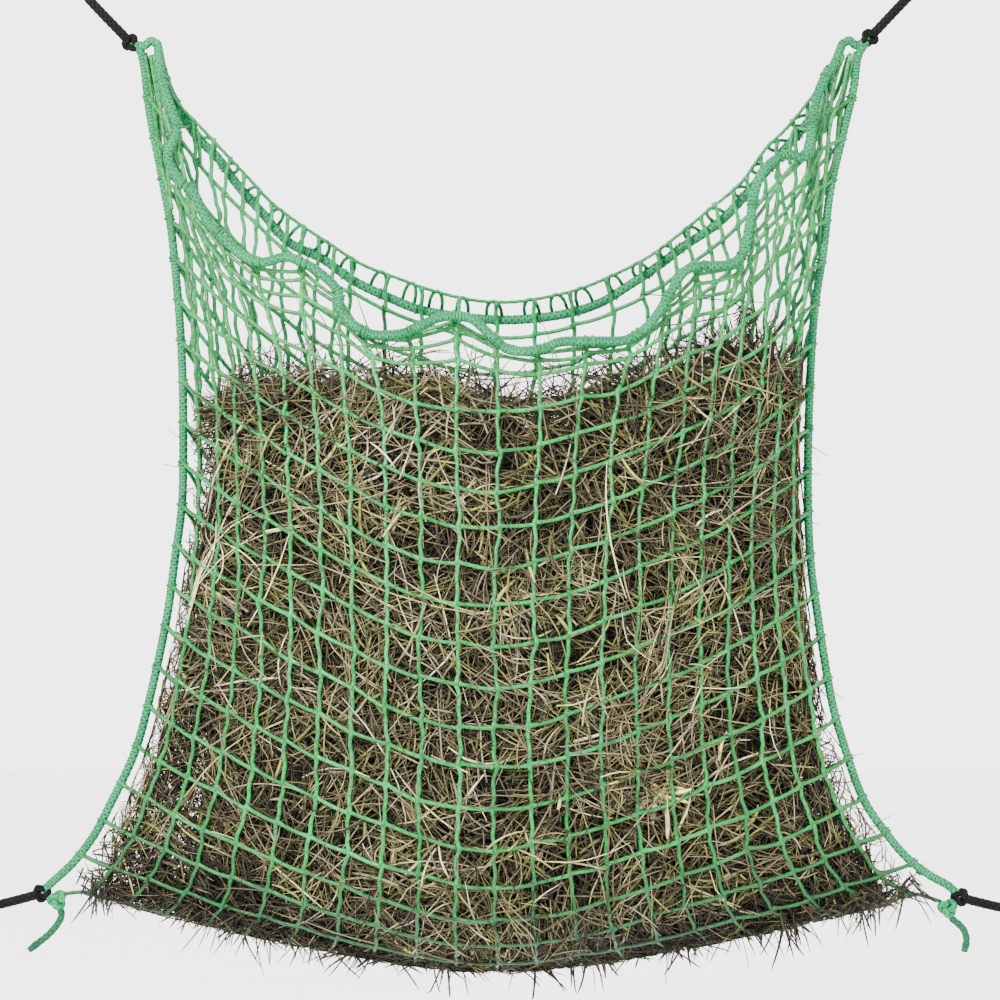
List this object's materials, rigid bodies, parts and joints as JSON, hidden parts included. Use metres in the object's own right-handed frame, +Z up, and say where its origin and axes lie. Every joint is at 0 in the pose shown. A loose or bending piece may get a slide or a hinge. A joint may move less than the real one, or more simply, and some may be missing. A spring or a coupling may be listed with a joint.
{
  "type": "hay net",
  "caption": "Square-mesh netting bag for hay, laced to rope edges, hung open at the top by tie cords at its corners and filled with hay.",
  "frame": {"origin": "midway between the two top tie loops, which go on the hooks or rings that hold the net up", "axes": "+Z up, the front face looks along -Y, +X runs to the viewer's right along the mouth"},
  "size_m": [1.3599, 0.3236, 1.2257],
  "materials": {
    "net_cord": "green polypropylene netting cord, satin",
    "braided_rope": "green braided polypropylene rope with dark whipping ticks",
    "tie_cord": "black braided polyester cord",
    "hay": "dry loose hay, matte"
  },
  "bodies": {
    "net": {"net_front": "net_cord", "net_front_mouth_strip": "net_cord", "net_back": "net_cord", "fold_cord": "net_cord", "back_edge_cord": "net_cord", "side_rope_left": "braided_rope", "side_rope_right": "braided_rope", "mouth_rope_back": "braided_rope", "corner_loop_left": "braided_rope", "corner_loop_right": "braided_rope", "stopper_knot_left": "braided_rope", "stopper_knot_right": "braided_rope", "tie_knot_top_left": "tie_cord", "tie_knot_top_right": "tie_cord", "tie_knot_bottom_left": "tie_cord", "tie_knot_bottom_right": "tie_cord", "hay_fill": "hay"},
    "front_mouth": {"mouth_rope_front": "braided_rope"},
    "tie_top_left": {"tie_cord_top_left": "tie_cord", "tie_loop_knot_top_left": "tie_cord", "tie_loop_top_left": "tie_cord"},
    "tie_top_right": {"tie_cord_top_right": "tie_cord", "tie_loop_knot_top_right": "tie_cord", "tie_loop_top_right": "tie_cord"},
    "tie_bottom_left": {"tie_cord_bottom_left": "tie_cord", "tie_loop_knot_bottom_left": "tie_cord", "tie_loop_bottom_left": "tie_cord"},
    "tie_bottom_right": {"tie_cord_bottom_right": "tie_cord", "tie_loop_knot_bottom_right": "tie_cord", "tie_loop_bottom_right": "tie_cord"},
    "tail_left": {"rope_tail_left": "braided_rope"},
    "tail_right": {"rope_tail_right": "braided_rope"}
  },
  "joints": [
    {"name": "mouth_opens", "type": "hinge", "parent": "net", "child": "front_mouth", "pos_m": [0, 0, -0.08], "axis": [-1, 0, 0], "range_deg": [-3, 14], "stiffness_Nm_per_rad": 0.6, "springref_deg": 5.73, "deforming": ["net_front_mouth_strip"]},
    {"name": "tie_top_left_aims", "type": "hinge", "parent": "net", "child": "tie_top_left", "pos_m": [-0.444, 0, -0.0765], "axis": [0, 1, 0], "range_deg": [-25, 25]},
    {"name": "tie_top_right_aims", "type": "hinge", "parent": "net", "child": "tie_top_right", "pos_m": [0.449, 0, -0.0705], "axis": [0, 1, 0], "range_deg": [-25, 25]},
    {"name": "tie_bottom_left_aims", "type": "hinge", "parent": "net", "child": "tie_bottom_left", "pos_m": [-0.5518, 0, -1.1047], "axis": [0, 1, 0], "range_deg": [-25, 25]},
    {"name": "tie_bottom_right_aims", "type": "hinge", "parent": "net", "child": "tie_bottom_right", "pos_m": [0.559, 0, -1.1096], "axis": [0, 1, 0], "range_deg": [-25, 25]},
    {"name": "tail_left_swings", "type": "hinge", "parent": "net", "child": "tail_left", "pos_m": [-0.5336, 0, -1.1132], "axis": [0, 1, 0], "range_deg": [-30, 30], "stiffness_Nm_per_rad": 0.02},
    {"name": "tail_right_swings", "type": "hinge", "parent": "net", "child": "tail_right", "pos_m": [0.5445, 0, -1.1229], "axis": [0, 1, 0], "range_deg": [-30, 30], "stiffness_Nm_per_rad": 0.02}
  ]
}
